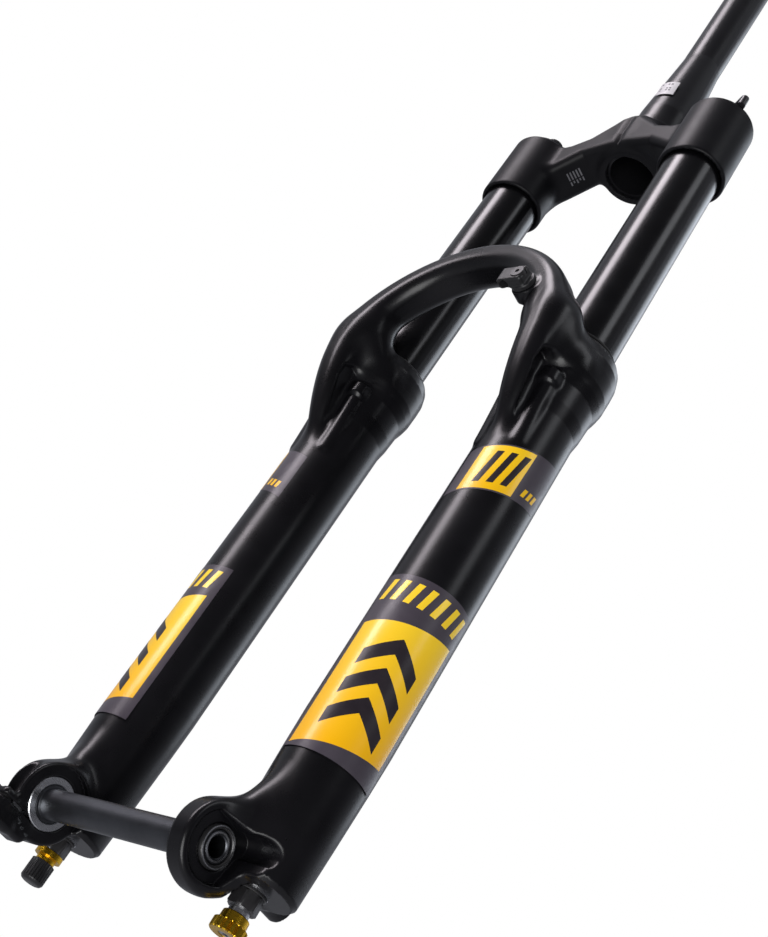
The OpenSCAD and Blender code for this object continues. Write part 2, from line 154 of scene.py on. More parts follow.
def outline(u, v, points):
    """Signed distance to a closed flat outline."""
    best = np.full(u.shape, FAR, u.dtype)
    sign = np.ones(u.shape, u.dtype)
    for i, (ax, ay) in enumerate(points):
        bx, by = points[i - 1]
        ex, ey = bx - ax, by - ay
        wx, wy = u - ax, v - ay
        t = np.clip((wx * ex + wy * ey) / (ex * ex + ey * ey), 0, 1)
        best = np.minimum(best, (wx - ex * t) ** 2 + (wy - ey * t) ** 2)
        over = v >= ay
        under = v < by
        left = ex * wy > ey * wx
        flip = (over & under & left) | (~over & ~under & ~left)
        sign = np.where(flip, -sign, sign)
    return sign * np.sqrt(best)


# ------------------------------------------------------------ surface of a distance field


EDGES = [(a, b) for a in range(8) for b in range(a + 1, 8) if bin(a ^ b).count("1") == 1]
BLOCK = 8
BLOCK_REACH = 0.87
BLEND_REACH = 4.0
SLOPE_REACH = 0.15
SETTLE_ROUNDS = 4


def corner_offset(c):
    return c & 1, (c >> 1) & 1, (c >> 2) & 1


def crossed_cells(neg):
    """Grid cells whose eight corners lie on both sides of the surface."""
    n = [size - 1 for size in neg.shape]
    count = np.zeros(n, np.int8)
    for c in range(8):
        i, j, k = corner_offset(c)
        count += neg[i:i + n[0], j:j + n[1], k:k + n[2]]
    return np.argwhere((count > 0) & (count < 8))


def cell_points(f, cells):
    """Mean of the points where the surface crosses each cell's edges, in cells."""
    values = [f[tuple((cells + corner_offset(c)).T)] for c in range(8)]
    total = np.zeros((len(cells), 3))
    hits = np.zeros(len(cells))
    for a, b in EDGES:
        cross = (values[a] < 0) != (values[b] < 0)
        gap = np.where(cross, values[a] - values[b], 1)
        t = (values[a] / gap)[:, None]
        pa = np.array(corner_offset(a), float)
        pb = np.array(corner_offset(b), float)
        total += np.where(cross[:, None], pa + (pb - pa) * t, 0)
        hits += cross
    return cells + total / hits[:, None]


def cell_faces(neg, cells):
    """One quad around each grid edge that the surface crosses."""
    n = [size - 1 for size in neg.shape]
    index = np.full(n, -1, np.int64)
    index[tuple(cells.T)] = np.arange(len(cells))
    faces = []
    for axis in range(3):
        u, v = (axis + 1) % 3, (axis + 2) % 3
        first = [slice(None)] * 3
        second = [slice(None)] * 3
        first[axis] = slice(0, -1)
        second[axis] = slice(1, None)
        a, b = neg[tuple(first)], neg[tuple(second)]
        spots = np.argwhere(a != b)
        within = (spots[:, u] > 0) & (spots[:, v] > 0) & (spots[:, u] < n[u]) & (spots[:, v] < n[v])
        spots = spots[within]
        du, dv = np.eye(3, dtype=int)[u], np.eye(3, dtype=int)[v]
        shifts = (du * 0, du, du + dv, dv)
        quad = np.stack([index[tuple((spots - shift).T)] for shift in shifts], 1)
        flip = b[tuple(spots.T)]
        quad[flip] = quad[flip][:, ::-1]
        faces.append(quad)
    return np.concatenate(faces)


def field_mesh(name, field, low, high, step):
    """Smooth closed surface where the field is zero."""
    axes = [np.arange(low[i], high[i] + step, step, dtype=np.float32) for i in range(3)]
    f = sampled(field, axes, step)
    neg = f < 0
    cells = crossed_cells(neg)
    verts = cell_points(f, cells) * step + np.array(low)
    faces = cell_faces(neg, cells)
    for _ in range(SETTLE_ROUNDS):
        d, normals = field_and_slope(field, verts)
        verts = verts - np.clip(d, -0.5 * step, 0.5 * step)[:, None] * normals
    return mesh_object(name, verts, faces.tolist(), normals)


def sampled(field, axes, step):
    """Field values on a grid, worked out only in the blocks that the surface passes through."""
    f = np.full([len(a) for a in axes], 1.0, np.float32)
    starts = [np.arange(0, len(a), BLOCK) for a in axes]
    corner = np.stack(np.meshgrid(*starts, indexing="ij"), -1).reshape(-1, 3)
    middle = [axes[i][0] + (corner[:, i] + BLOCK / 2 - 0.5) * step for i in range(3)]
    guess = field(*middle)
    # half a block's diagonal, and room for blends that bend the distance
    reach = BLOCK * step * BLOCK_REACH + BLEND_REACH
    for c in corner[guess < -reach]:
        f[c[0]:c[0] + BLOCK, c[1]:c[1] + BLOCK, c[2]:c[2] + BLOCK] = -1.0
    near = corner[np.abs(guess) <= reach]
    offsets = np.stack(np.meshgrid(*[np.arange(BLOCK)] * 3, indexing="ij"), -1).reshape(-1, 3)
    index = (near[:, None, :] + offsets[None, :, :]).reshape(-1, 3)
    inside = np.all(index < np.array(f.shape), axis=1)
    index = index[inside]
    points = [(axes[i][0] + index[:, i] * step).astype(np.float32) for i in range(3)]
    f[tuple(index.T)] = field(*points)
    return f


def field_and_slope(field, points):
    """Field value and unit slope at each point."""
    x, y, z = points.T
    d = field(x, y, z)
    gx = field(x + SLOPE_REACH, y, z) - field(x - SLOPE_REACH, y, z)
    gy = field(x, y + SLOPE_REACH, z) - field(x, y - SLOPE_REACH, z)
    gz = field(x, y, z + SLOPE_REACH) - field(x, y, z - SLOPE_REACH)
    slope = np.stack([gx, gy, gz], 1)
    size = np.maximum(np.linalg.norm(slope, axis=1, keepdims=True), 1e-6)
    return d, slope / size


def linked_object(name, data):
    obj = bpy.data.objects.new(name, data)
    bpy.context.scene.collection.objects.link(obj)
    return obj


def mesh_from(name, bm):
    """Object made of the bmesh, which is then freed."""
    mesh = bpy.data.meshes.new(name)
    bm.to_mesh(mesh)
    bm.free()
    return linked_object(name, mesh)


def mesh_object(name, verts, faces, normals=None):
    """Smooth-shaded object from vertices in millimetres."""
    mesh = bpy.data.meshes.new(name)
    mesh.from_pydata((np.asarray(verts) * MM).tolist(), [], faces)
    mesh.validate()
    mesh.polygons.foreach_set("use_smooth", [True] * len(mesh.polygons))
    obj = linked_object(name, mesh)
    if normals is not None and len(normals) == len(mesh.vertices):
        mesh.normals_split_custom_set_from_vertices(normals.tolist())
    return obj


# ------------------------------------------------------------ lower legs


# In the casting, y is measured from the plane of the legs and h from the axle.
# (distance from the leg's axis, height above the axle)
LEG_PROFILE = [(0, FOOT_H), (18.8, FOOT_H), (20.6, -1.0), (21.7, 30), (22.6, 60), (LEG_R, 80),
    (LEG_R, 284), (24.1, 292), (24.7, 305), (26.3, 311), (27.2, 316), (27.4, 326), (27.3, 332),
    (25.9, COLLAR_H), (0, COLLAR_H)]
# (radius, low, high) of the bores for the bushings, the foam ring and the wiper
LEG_BORES = [(19.8, FLOOR_H, 322), (20.5, 204, 222), (20.5, 290, 308), (22.6, 311, 319),
    (WIPER_R, 322, 340), (25.5, COLLAR_H, 390)]
ARCH_R = 73.0
ARCH_H = 320.0
ARCH_FOOT_H = 250
ARCH_RISE_H = 252
ARCH_RISE = 93
HUB_BOSS_R = 20
HUB_FACE_R = 19
AXLE_BORE_R = 7.55
INSERT_BORE_R = 9.8
INSERT_FROM_X = 64.0
COLLAR_BORE_R = 13.23
COLLAR_END_X = -70
UPPER_FROM_H = 236
LOWER_TO_H = 112
CASTING_STEP = 1.05
CASTING_LOW = (-99.5, -54.5, -27)
CASTING_HIGH = (99.5, 34, 407)


def ease(t):
    """Rises quickly from 0, and eases into 1."""
    t = np.clip(t, 0, 1)
    return 1 - (1 - t) ** 2


def smooth_step(t):
    """Eases out of 0 and into 1."""
    t = np.clip(t, 0, 1)
    return t * t * (3 - 2 * t)


def arch_field(ax, y, h):
    """The arch and the two bars that carry it down into the fronts of the legs."""
    line = ARCH_R - 3 * smooth_step((ARCH_H - h) / 64)
    across = np.where(h > ARCH_H, length2(ax, h - ARCH_H) - ARCH_R, ax - line)
    rise = ease((h - ARCH_RISE_H) / ARCH_RISE)
    front = -15 - 33.2 * rise
    back = -6 - 17 * rise
    half_w = 3.5 + 8.6 * rise - 2.6 * smooth_step((h - 345) / 48)
    edge = 0.85 * half_w
    u = np.abs(across) - half_w + edge
    v = np.abs(y - (front + back) / 2) - (back - front) / 2 + edge
    bar = np.minimum(np.maximum(u, v), 0) + length2(np.maximum(u, 0), np.maximum(v, 0)) - edge
    return np.maximum(bar * 0.92, ARCH_FOOT_H - h)


def blade_field(ax, y, h):
    """Webs that spread from the arch's ends to the collar."""
    s = np.abs(ax - LEG_X)
    return cone(s, y, h, (5, -29, 338), (13.5, -12, 322), 10.5, 11)


def pocket_field(ax, y, h):
    """Hollows on both flanks of the blade, behind its front face."""
    s = np.abs(ax - LEG_X)
    flat = outline(y, h, [(-22.5, 269), (-35, 302), (-35.5, 309), (-31, 312), (-19, 312)]) - 0.8
    return plate(flat, s - 20, 13.8, 1.0)


def rib_field(ax, y, h):
    """Rib with a round head beside the arch's foot."""
    s = np.abs(ax - LEG_X)
    low = cone(s, y, h, (12, -16.5, 258), (12, -19.5, 300), 3.5, 4.6)
    head = rod(s, y, h, (12, -20.5, 298), (12, -20.5, 307), 5.6, 1.6)
    return smooth_join(low, head, 3)


def dropout_left(x, y, h):
    """Threaded dropout, and the webs that carry it."""
    boss = rod(x, y, h, (HUB_X, AXLE_BACK, 0), (66.6, AXLE_BACK, 0), HUB_BOSS_R, 2.2)
    web = cone(x, y, h, (62.5, AXLE_BACK + 4, 2), (69, -8, 20), 7, 13)
    rise = cone(x, y, h, (61.5, AXLE_BACK, 8), (69, -12, 44), 6, 8)
    back = cone(x, y, h, (62.5, AXLE_BACK + 6, -10), (68, -6, 2), 6, 10)
    return smooth_join(boss, smooth_join(smooth_join(web, rise, 12), back, 8), 10)


def dropout_right(x, y, h):
    """Clamping dropout, its webs and the lug of the pinch bolt."""
    boss = rod(x, y, h, (-HUB_X, AXLE_BACK, 0), (-68, AXLE_BACK, 0), HUB_BOSS_R, 2.2)
    web = cone(x, y, h, (-62.5, AXLE_BACK + 4, 2), (-69, -8, 20), 7, 13)
    rise = cone(x, y, h, (-61.5, AXLE_BACK, 8), (-69, -12, 44), 6, 8)
    lug = block(x, y, h, (PINCH_X, -44, -15.5), (6.5, 7.8, 8.5), 3)
    low = block(x, y, h, (PINCH_X, -36, -19), (6.3, 10, 5), 3)
    lug = smooth_join(lug, low, 4)
    return smooth_join(smooth_join(boss, lug, 3), smooth_join(web, rise, 12), 10)


def brake_field(x, y, h):
    """The two posts of the brake mount, each with a web to the leg."""
    d = np.full(x.shape, 1e3, x.dtype)
    for post in BRAKE_HEIGHTS:
        boss = rod(x, y, h, (BRAKE_X, BRAKE_FRONT_Y, post), (BRAKE_X, BRAKE_FACE_Y, post), 7.5, 0.8)
        web = block(x, y, h, (64, 14, post), (7, 10, 4.2), 2)
        d = np.minimum(d, smooth_join(boss, web, 4))
    return d


def leg_hollow(rho, h):
    """The space inside a leg, down to the hole in its foot."""
    d = np.maximum(rho - 5.3, np.maximum(FOOT_H - 2 - h, h - FLOOR_H - 1))
    d = np.minimum(d, np.maximum(rho - 10, h - FOOT_H))
    for radius, low, high in LEG_BORES:
        d = np.minimum(d, np.maximum(rho - radius, np.maximum(low - h, h - high)))
    return d


def hub_bores(x, y, h):
    """Holes for the axle, the threaded insert on the left and the collar on the right."""
    reach = length2(y - AXLE_BACK, h)
    left = np.maximum(reach - AXLE_BORE_R, -x)
    cup = np.maximum(reach - INSERT_BORE_R, INSERT_FROM_X - x)
    right = np.maximum(reach - np.where(x < COLLAR_END_X, 9.8, COLLAR_BORE_R), x)
    return np.minimum(np.minimum(left, cup), right)


def left_recess(x, y, h):
    """Shallow drop-shaped field on the outer face of the left dropout."""
    t = np.clip(((y - AXLE_BACK) * 9 + h * 7) / 130.0, 0, 1)
    flat = length2(y - AXLE_BACK - 9 * t, h - 7 * t) - (15.6 - 9.6 * t)
    return np.maximum(flat, 65.3 - x)


def upper_part(d, x, y, h):
    """Adds the arch, the ribs and the boss of the hose clip to the legs."""
    ax = np.abs(x)
    # the pockets are cut from the web alone, so that the leg's wall stays whole
    web = smooth_join(arch_field(ax, y, h), blade_field(ax, y, h), 14)
    web = smooth_cut(web, pocket_field(ax, y, h), 2.5)
    d = smooth_join(d, web, 5)
    d = smooth_join(d, rib_field(ax, y, h), 3)
    boss = rod(x, y, h, (GUIDE_X, GUIDE_Y, GUIDE_H), (GUIDE_X, -40, GUIDE_H), 8.2, 0.8)
    d = smooth_join(d, boss, 2.5)
    screw = np.maximum(length2(x - GUIDE_X, h - GUIDE_H) - 2.1, np.abs(y + 44) - 6)
    return np.maximum(d, -screw)


def lower_part(d, x, y, h):
    """Adds the dropouts and the brake mount to the legs, and cuts their holes."""
    ax = np.abs(x)
    d = smooth_join(d, dropout_left(x, y, h), 4)
    d = smooth_join(d, dropout_right(x, y, h), 4)
    d = smooth_join(d, brake_field(x, y, h), 4)
    d = smooth_cut(d, left_recess(x, y, h), 1.6)
    # the hub faces stay flat, and the wheel's side of the dropouts is clear
    hub = np.maximum(ax - HUB_X, length2(y - AXLE_BACK, h) - HUB_FACE_R)
    d = smooth_cut(d, hub, 1.0)
    d = smooth_cut(d, hub_bores(x, y, h), 1.2)
    slit = block(x, y, h, (-62.5, -49, -12), (8, 20, 0.8), 0.1)
    d = np.maximum(d, -slit)
    bolt = length2(x - PINCH_X, y - PINCH_Y)
    d = np.maximum(d, -np.maximum(bolt - PINCH_THREAD_R, np.abs(h + 16) - 12))
    d = smooth_cut(d, np.maximum(bolt - PINCH_HEAD_R, np.abs(h - 3) - 16), 1.2)
    for post in BRAKE_HEIGHTS:
        within = np.maximum(17 - y, y - BRAKE_FACE_Y - 1)
        thread = np.maximum(length2(x - BRAKE_X, h - post) - BRAKE_BORE_R, within)
        d = np.maximum(d, -thread)
    return d


def lower_field(x, y, h):
    """The whole casting."""
    rho = length2(np.abs(x) - LEG_X, y)
    d = outline(rho, h, LEG_PROFILE)
    for mask, change in ((h > UPPER_FROM_H, upper_part), (h < LOWER_TO_H, lower_part)):
        d[mask] = change(d[mask], x[mask], y[mask], h[mask])
    return np.maximum(d, -leg_hollow(rho, h))


def build_lower_legs(material):
    obj = field_mesh("casting", lower_field, CASTING_LOW, CASTING_HIGH, CASTING_STEP)
    obj.location = (0, LEG_Y * MM, AXLE_Z * MM)
    dress(obj, material, "lowers", "cast_black", "lower_legs")


# ------------------------------------------------------------ crown


# (distance from the middle, height) of the arms, seen from the front
ARM_OUTLINE = [(0, -0.5), (8, -1.5), (17, -9), (27, -18), (40, -22.5), (56, -23), (70, -23.5),
    (70, -70), (56, -56), (44, -49), (26, -37), (0, -33)]
CROWN_BOSS_R = 26
STEERER_BORE_R = 19.45
STEERER_END_Z = -33
STEERER_INSIDE_R = 17.5
STAN_STOP = 6
STAN_INSIDE_R = 17.2
CROWN_STEP = 1.15
CROWN_LOW = (-94, -43, -80)
CROWN_HIGH = (94, 28, 3)


def crown_field(x, y, z):
    """Steerer boss, arms and leg clamps, with their bores."""
    ax = np.abs(x)
    middle = length2(x, y)
    boss = plate(middle - CROWN_BOSS_R + 4 * np.clip((-22 - z) / 14, 0, 1), z + 18, 18, 1.5)
    arm = plate(outline(ax, z, ARM_OUTLINE), y + 13, 15, 5.5)
    rho = length2(ax - LEG_X, y - LEG_Y)
    clamp_middle = (CLAMP_TOP + CLAMP_BOTTOM) / 2
    clamp = plate(rho - CLAMP_R, z - clamp_middle, (CLAMP_TOP - CLAMP_BOTTOM) / 2, 1.8)
    d = smooth_join(smooth_join(arm, boss, 5), clamp, 5)
    d = np.maximum(d, CLAMP_BOTTOM - z)
    d = np.maximum(d, -np.maximum(middle - STEERER_BORE_R, np.maximum(STEERER_END_Z - z, z - 2)))
    d = np.maximum(d, -np.maximum(middle - STEERER_INSIDE_R, z - STEERER_END_Z - 1))
    d = np.maximum(d, -np.maximum(rho - (STAN_R + 0.05), z - CLAMP_TOP + STAN_STOP))
    d = np.maximum(d, -np.maximum(rho - 20.0, z - CLAMP_BOTTOM - 3))
    return np.maximum(d, -(rho - STAN_INSIDE_R))


def build_crown(material):
    obj = field_mesh("forged_crown", crown_field, CROWN_LOW, CROWN_HIGH, CROWN_STEP)
    dress(obj, material, "uppers", "crown_black", "crown")


# ------------------------------------------------------------ turned pieces


SEGMENTS = 96
FINE_SEGMENTS = 192
FLUTED_FROM = 0.8


def ring_faces(rows, segments):
    """Quads that join each row of points to the next, and the last row to the first."""
    faces = []
    for j in range(rows):
        k = (j + 1) % rows
        for i in range(segments):
            n = (i + 1) % segments
            faces.append([j * segments + i, j * segments + n, k * segments + n, k * segments + i])
    return faces


def lathe(name, profile, centre, segments=SEGMENTS, flutes=None, axis="z"):
    """Turned piece from (radius, height) pairs, whose heights run along axis, "z" or "x".

    flutes is (count, depth, low, high, sharpness): grooves in its outside, between two heights.
    """
    verts = []
    outside = FLUTED_FROM * max(radius for radius, height in profile)
    for radius, height in profile:
        for i in range(segments):
            a = 2 * math.pi * i / segments
            r = radius
            if flutes and radius > outside and flutes[2] <= height <= flutes[3]:
                wave = max(0.0, math.cos(flutes[0] * a))
                r = radius - flutes[1] * wave ** flutes[4]
            verts.append((r * math.cos(a), r * math.sin(a), height))
    points = np.array(verts)
    if axis == "x":
        points = np.stack([points[:, 2], points[:, 1], -points[:, 0]], 1)
    obj = mesh_object(name, points + np.array(centre), ring_faces(len(profile), segments))
    finish_normals(obj)
    return obj


def finish_normals(obj, angle=38):
    """Turns faces outwards, and keeps edges of more than angle degrees sharp."""
    mesh = obj.data
    bm = bmesh.new()
    bm.from_mesh(mesh)
    bmesh.ops.remove_doubles(bm, verts=bm.verts, dist=1e-6)
    bmesh.ops.recalc_face_normals(bm, faces=bm.faces)
    for edge in bm.edges:
        edge.smooth = len(edge.link_faces) == 2 and edge.calc_face_angle(0) < math.radians(angle)
    bm.to_mesh(mesh)
    bm.free()


def bevelled(profile, size):
    """Profile with each corner cut by size."""
    made = []
    n = len(profile)
    for i, p in enumerate(profile):
        for q in (profile[i - 1], profile[(i + 1) % n]):
            dx, dz = q[0] - p[0], q[1] - p[1]
            reach = math.hypot(dx, dz)
            cut = min(size, reach * 0.4)
            made.append((p[0] + dx / reach * cut, p[1] + dz / reach * cut))
    return made


def hexagon(name, across, low, high, bore, centre):
    """Nut with chamfered corners and a round hole."""
    corner = across / math.sqrt(3)
    rows = [(bore, low, 0), (corner - 0.8, low, 1), (corner, low + 0.6, 1), (corner, high - 0.6, 1),
        (corner - 0.8, high, 1), (bore, high, 0)]
    verts = []
    for radius, height, cut in rows:
        for i in range(SEGMENTS):
            a = 2 * math.pi * i / SEGMENTS
            off = (a % (math.pi / 3)) - math.pi / 6
            r = min(radius, across / 2 / math.cos(off)) if cut else radius
            verts.append((r * math.cos(a), r * math.sin(a), height))
    obj = mesh_object(name, np.array(verts) + np.array(centre), ring_faces(len(rows), SEGMENTS))
    finish_normals(obj, 25)
    return obj


def dress(obj, material, body, slot, *nodes):
    """Gives a piece its material, the CAD nodes it stands in for and its body; slot is not used."""
    obj.data.materials.clear()
    obj.data.materials.append(material)
    if nodes:
        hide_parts(*nodes)
    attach(obj, body)


# ------------------------------------------------------------ materials


class Mat:
    """Node material whose wear, grain and roughness come from the surface's own position."""

    def __init__(self, name, rough, metal=0.0, spec=0.5, coat=0.0, coat_rough=0.1, sheen=0.0):
        self.mat = bpy.data.materials.new(name)
        self.mat.use_nodes = True
        self.nodes = self.mat.node_tree.nodes
        self.links = self.mat.node_tree.links
        self.shader = self.nodes["Principled BSDF"]
        self.shader.inputs["Metallic"].default_value = metal
        self.shader.inputs["Roughness"].default_value = rough
        self.shader.inputs["Specular IOR Level"].default_value = spec
        self.shader.inputs["Coat Weight"].default_value = coat
        self.shader.inputs["Coat Roughness"].default_value = coat_rough
        self.shader.inputs["Sheen Weight"].default_value = sheen
        self.coords = self.nodes.new("ShaderNodeTexCoord")
        self.normal = None

    def noise(self, scale, detail=4.0, stretch=None):
        node = self.nodes.new("ShaderNodeTexNoise")
        node.inputs["Scale"].default_value = scale
        node.inputs["Detail"].default_value = detail
        source = self.coords.outputs["Object"]
        if stretch:
            mapping = self.nodes.new("ShaderNodeMapping")
            mapping.inputs["Scale"].default_value = stretch
            self.links.new(source, mapping.inputs["Vector"])
            source = mapping.outputs["Vector"]
        self.links.new(source, node.inputs["Vector"])
        return node.outputs["Fac"]

    def spread(self, value, low, high, to_low, to_high):
        node = self.nodes.new("ShaderNodeMapRange")
        node.inputs["From Min"].default_value = low
        node.inputs["From Max"].default_value = high
        node.inputs["To Min"].default_value = to_low
        node.inputs["To Max"].default_value = to_high
        self.links.new(value, node.inputs["Value"])
        return node.outputs["Result"]

    def colours(self, value, first, second, low=0.3, high=0.7):
        node = self.nodes.new("ShaderNodeValToRGB")
        node.color_ramp.elements[0].position = low
        node.color_ramp.elements[1].position = high
        node.color_ramp.elements[0].color = (*first, 1)
        node.color_ramp.elements[1].color = (*second, 1)
        self.links.new(value, node.inputs["Fac"])
        return node.outputs["Color"]

    def worn(self, colour, bare, strength=0.5):
        """Mixes in the bare colour where the surface is sharply convex."""
        geometry = self.nodes.new("ShaderNodeNewGeometry")
        convex_from, convex_to = 0.53, 0.62
        edge = self.spread(geometry.outputs["Pointiness"], convex_from, convex_to, 0, strength)
        patchy = self.nodes.new("ShaderNodeMath")
        patchy.operation = "MULTIPLY"
        self.links.new(edge, patchy.inputs[0])
        self.links.new(self.spread(self.noise(160), 0.42, 0.62, 0, 1), patchy.inputs[1])
        mix = self.nodes.new("ShaderNodeMix")
        mix.data_type = "RGBA"
        self.links.new(patchy.outputs["Value"], mix.inputs["Factor"])
        self.links.new(colour, mix.inputs["A"])
        mix.inputs["B"].default_value = (*bare, 1)
        return mix.outputs["Result"]

    def bump(self, value, strength, distance):
        node = self.nodes.new("ShaderNodeBump")
        node.inputs["Strength"].default_value = strength
        node.inputs["Distance"].default_value = distance
        self.links.new(value, node.inputs["Height"])
        if self.normal is not None:
            self.links.new(self.normal, node.inputs["Normal"])
        self.normal = node.outputs["Normal"]
        self.links.new(self.normal, self.shader.inputs["Normal"])

    def colour(self, socket):
        self.links.new(socket, self.shader.inputs["Base Color"])

    def rough(self, socket):
        self.links.new(socket, self.shader.inputs["Roughness"])


def painted(name, dark, light, rough, grain=900, strength=0.10, spec=0.5, wear=0.0):
    """Paint, anodising or oxide, worn to grey on sharp edges by wear."""
    bare = (0.16, 0.16, 0.17)
    m = Mat(name, rough, spec=spec)
    shade = m.colours(m.noise(35), dark, light)
    m.colour(m.worn(shade, bare, wear) if wear else shade)
    m.rough(m.spread(m.noise(70, 6), 0.3, 0.7, rough - 0.015, rough + 0.02))
    m.bump(m.noise(grain, 2), strength, 0.0001)
    return m.mat


def metal(name, dark, light, rough, stretch=(1, 1, 12)):
    """Bare or anodised metal whose fine turning marks lie across the stretched axis."""
    grain = 500
    m = Mat(name, rough, metal=1.0)
    m.colour(m.colours(m.noise(45), dark, light))
    m.rough(m.spread(m.noise(grain, 3, stretch), 0.3, 0.7, rough - 0.05, rough + 0.08))
    m.bump(m.noise(grain, 2, stretch), 0.08, 0.0002)
    return m.mat


def soft(name, dark, light, rough, grain=700, strength=0.3):
    """Rubber, plastic, foam or printed film."""
    m = Mat(name, rough, spec=0.35, sheen=0.05)
    m.colour(m.colours(m.noise(60), dark, light))
    m.rough(m.spread(m.noise(120, 5), 0.3, 0.7, rough - 0.06, rough + 0.06))
    m.bump(m.noise(grain, 3), strength, 0.0003)
    return m.mat


def printed(name, low_colour, high_colour, low, high, rough):
    """Ink whose colour shades along the leg's height."""
    m = Mat(name, rough, spec=0.4, coat=0.25, coat_rough=0.15)
    split = m.nodes.new("ShaderNodeSeparateXYZ")
    m.links.new(m.coords.outputs["Object"], split.inputs["Vector"])
    level = m.spread(split.outputs["Z"], low, high, 0, 1)
    m.colour(m.colours(level, low_colour, high_colour, 0.0, 1.0))
    m.rough(m.spread(m.noise(90, 5), 0.3, 0.7, rough - 0.03, rough + 0.05))
    m.bump(m.noise(800, 2), 0.05, 0.0001)
    return m.mat


def add_blacks(made):
    made["cast_black"] = painted("satin_black_paint", (0.0028, 0.0028, 0.0034),
        (0.005, 0.0048, 0.006), 0.28, spec=0.3, wear=0.05)
    made["crown_black"] = painted("satin_black_anodised", (0.004, 0.004, 0.005),
        (0.007, 0.007, 0.008), 0.42, grain=1500, spec=0.14, wear=0.04)
    made["steerer_black"] = painted("satin_black_tube", (0.004, 0.004, 0.005),
        (0.008, 0.008, 0.009), 0.29, grain=1500, spec=0.32)
    made["stanchion_black"] = painted("polished_black_coat", (0.002, 0.002, 0.0025),
        (0.0035, 0.0035, 0.004), 0.22, grain=1800, strength=0.03, spec=0.36)
    made["cap_black"] = painted("satin_black_cap", (0.010, 0.010, 0.012),
        (0.016, 0.016, 0.018), 0.32, spec=0.5)


def add_metals(made):
    made["gold"] = metal("gold_anodised", (0.80, 0.47, 0.02), (0.95, 0.60, 0.05), 0.24)
    made["bright_metal"] = metal("machined_alloy", (0.60, 0.61, 0.63), (0.74, 0.75, 0.77), 0.26)
    made["steel"] = metal("plated_steel", (0.45, 0.45, 0.47), (0.62, 0.62, 0.63), 0.28)
    made["black_steel"] = painted("black_oxide_steel", (0.012, 0.012, 0.013),
        (0.022, 0.021, 0.022), 0.34, spec=0.7)
    made["grey_tube"] = metal("clear_anodised", (0.38, 0.39, 0.41), (0.48, 0.49, 0.51), 0.34)
    made["axle_grey"] = metal("dark_anodised", (0.075, 0.078, 0.085),
        (0.11, 0.115, 0.125), 0.36, (12, 1, 1))


def add_polymers(made):
    made["bushing"] = soft("bushing_lining", (0.09, 0.09, 0.10), (0.13, 0.13, 0.14), 0.55)
    made["seal_rubber"] = soft("nitrile_rubber", (0.008, 0.008, 0.008), (0.016, 0.016, 0.016), 0.5)
    made["foam"] = soft("open_foam", (0.03, 0.03, 0.02), (0.06, 0.06, 0.045), 0.9, 400, 0.8)
    made["bumper"] = soft("urethane", (0.02, 0.02, 0.02), (0.04, 0.04, 0.04), 0.5)
    made["black_plastic"] = soft("moulded_black", (0.008, 0.008, 0.009),
        (0.015, 0.015, 0.016), 0.38, 900, 0.15)


def add_inks(made):
    grain, strength = 900, 0.04
    made["film"] = soft("decal_film", (0.050, 0.042, 0.054), (0.062, 0.053, 0.066), 0.36, grain, strength)
    made["line_ink"] = soft("dark_ink", (0.016, 0.012, 0.016), (0.024, 0.018, 0.022), 0.35, grain, strength)
    made["pale_ink"] = soft("pale_ink", (0.45, 0.45, 0.46), (0.55, 0.55, 0.56), 0.45, grain, strength)
    made["etched"] = soft("etched_grey", (0.10, 0.10, 0.11), (0.15, 0.15, 0.16), 0.6, grain, strength)
    made["yellow_ink"] = printed("yellow_ink", (0.92, 0.46, 0.0), (1.0, 0.70, 0.03),
        (AXLE_Z + 60) * MM, (AXLE_Z + 160) * MM, 0.33)
    made["yellow_low"] = printed("yellow_band_ink", (0.92, 0.50, 0.0), (1.0, 0.62, 0.01),
        (AXLE_Z + 215) * MM, (AXLE_Z + 250) * MM, 0.33)


def make_materials():
    made = {}
    add_blacks(made)
    add_metals(made)
    add_polymers(made)
    add_inks(made)
    return made


# ------------------------------------------------------------ graphics on the legs


FILM_R = LEG_R + 0.06
INK_THICK = 0.05
INK_LIFT = 0.05
TOP_INK_LIFT = 0.10
STRIP_WIDTH = 1.0
LABEL_PLACE = (0, 0, 0)
LABEL_R = 19.12
LABEL_TURN = -82
DOT_PITCH = 2.4
DOT_SIZE = 1.4


def wrapped(name, shapes, centre, radius, turn, tilt):
    """Flat outlines (around, up) in millimetres, wrapped on a round tube.

    turn is the angle of around = 0, and tilt the rise for each millimetre around.
    """
    bm = bmesh.new()
    for shape in shapes:
        bm.faces.new([bm.verts.new((u, v, 0)) for u, v in shape])
    span = max(abs(v.co.x) for v in bm.verts)
    cut = -span
    while cut < span:
        geom = bm.verts[:] + bm.edges[:] + bm.faces[:]
        bmesh.ops.bisect_plane(bm, geom=geom, plane_co=(cut, 0, 0), plane_no=(1, 0, 0), dist=1e-4)
        cut += STRIP_WIDTH
    shell = bmesh.ops.extrude_face_region(bm, geom=bm.faces[:])
    for item in shell["geom"]:
        if isinstance(item, bmesh.types.BMVert):
            item.co.z += INK_THICK
    for v in bm.verts:
        angle = math.radians(turn) + v.co.x / radius
        r = radius + v.co.z
        x = centre[0] + r * math.cos(angle)
        y = centre[1] + r * math.sin(angle)
        up = v.co.y + tilt * v.co.x
        v.co = Vector((x, y, centre[2] + up)) * MM
    bmesh.ops.recalc_face_normals(bm, faces=bm.faces)
    return mesh_from(name, bm)


def rect(u0, v0, u1, v1):
    return [(u0, v0), (u1, v0), (u1, v1), (u0, v1)]


def slant(u0, u1, low, high, lean):
    return [(u0, low), (u1, low), (u1 + lean, high), (u0 + lean, high)]


